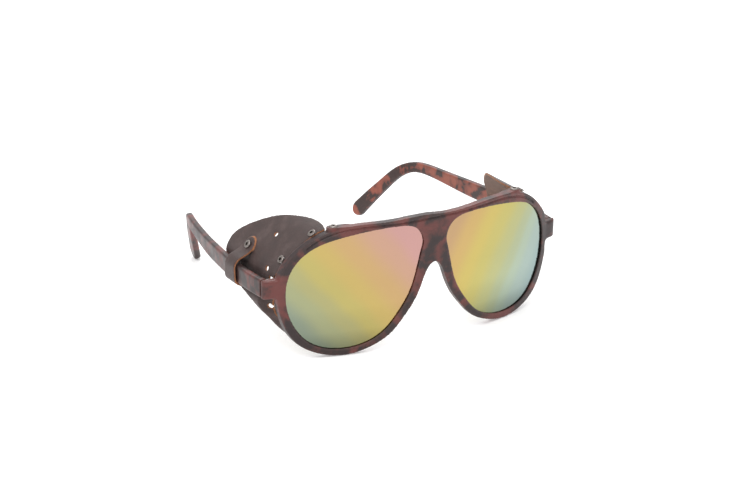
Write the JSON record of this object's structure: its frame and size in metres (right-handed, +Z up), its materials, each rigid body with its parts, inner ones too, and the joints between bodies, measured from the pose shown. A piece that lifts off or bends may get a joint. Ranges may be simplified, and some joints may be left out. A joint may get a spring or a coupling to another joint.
{
  "type": "glacier glasses",
  "caption": "Wrapped aviator glacier glasses with mirrored lenses, hooked folding temples and leather side shields strapped to the temples.",
  "frame": {"origin": "on the surface the glasses stand on, under the centre of their bounding box", "axes": "+X to the wearer's left, +Y back along the temples (the lenses face -Y), +Z up"},
  "size_m": [0.1486, 0.1442, 0.0589],
  "materials": {
    "tortoiseshell_nylon": "satin, mottled dark brown and red-brown",
    "mirrored_lens": "mirror coating that shifts from pink and gold to teal",
    "leather": "smooth dark brown outside, suede inside",
    "rivet_metal": "aged nickel",
    "hinge_steel": "satin"
  },
  "bodies": {
    "front": {"frame_front": "tortoiseshell_nylon", "lens_left": "mirrored_lens", "rim_rivet_upper_left": "rivet_metal", "rim_rivet_outer_left": "rivet_metal", "brow_rivet_left": "rivet_metal", "hinge_front_left": "hinge_steel", "lens_right": "mirrored_lens", "rim_rivet_upper_right": "rivet_metal", "rim_rivet_outer_right": "rivet_metal", "brow_rivet_right": "rivet_metal", "hinge_front_right": "hinge_steel"},
    "temple_left": {"temple_left": "tortoiseshell_nylon", "side_shield_left": "leather", "strap_rivet_left": "rivet_metal", "hinge_screw_left": "hinge_steel", "hinge_temple_left": "hinge_steel"},
    "temple_right": {"temple_right": "tortoiseshell_nylon", "side_shield_right": "leather", "strap_rivet_right": "rivet_metal", "hinge_screw_right": "hinge_steel", "hinge_temple_right": "hinge_steel"}
  },
  "joints": [
    {"name": "temple_left_fold", "type": "hinge", "parent": "front", "child": "temple_left", "pos_m": [0.0683, -0.0507, 0.0324], "axis": [0, 0, 1], "range_deg": [0, 80], "deforming": ["side_shield_left"]},
    {"name": "temple_right_fold", "type": "hinge", "parent": "front", "child": "temple_right", "pos_m": [-0.0683, -0.0507, 0.0324], "axis": [0, 0, -1], "range_deg": [0, 72], "deforming": ["side_shield_right"]}
  ]
}
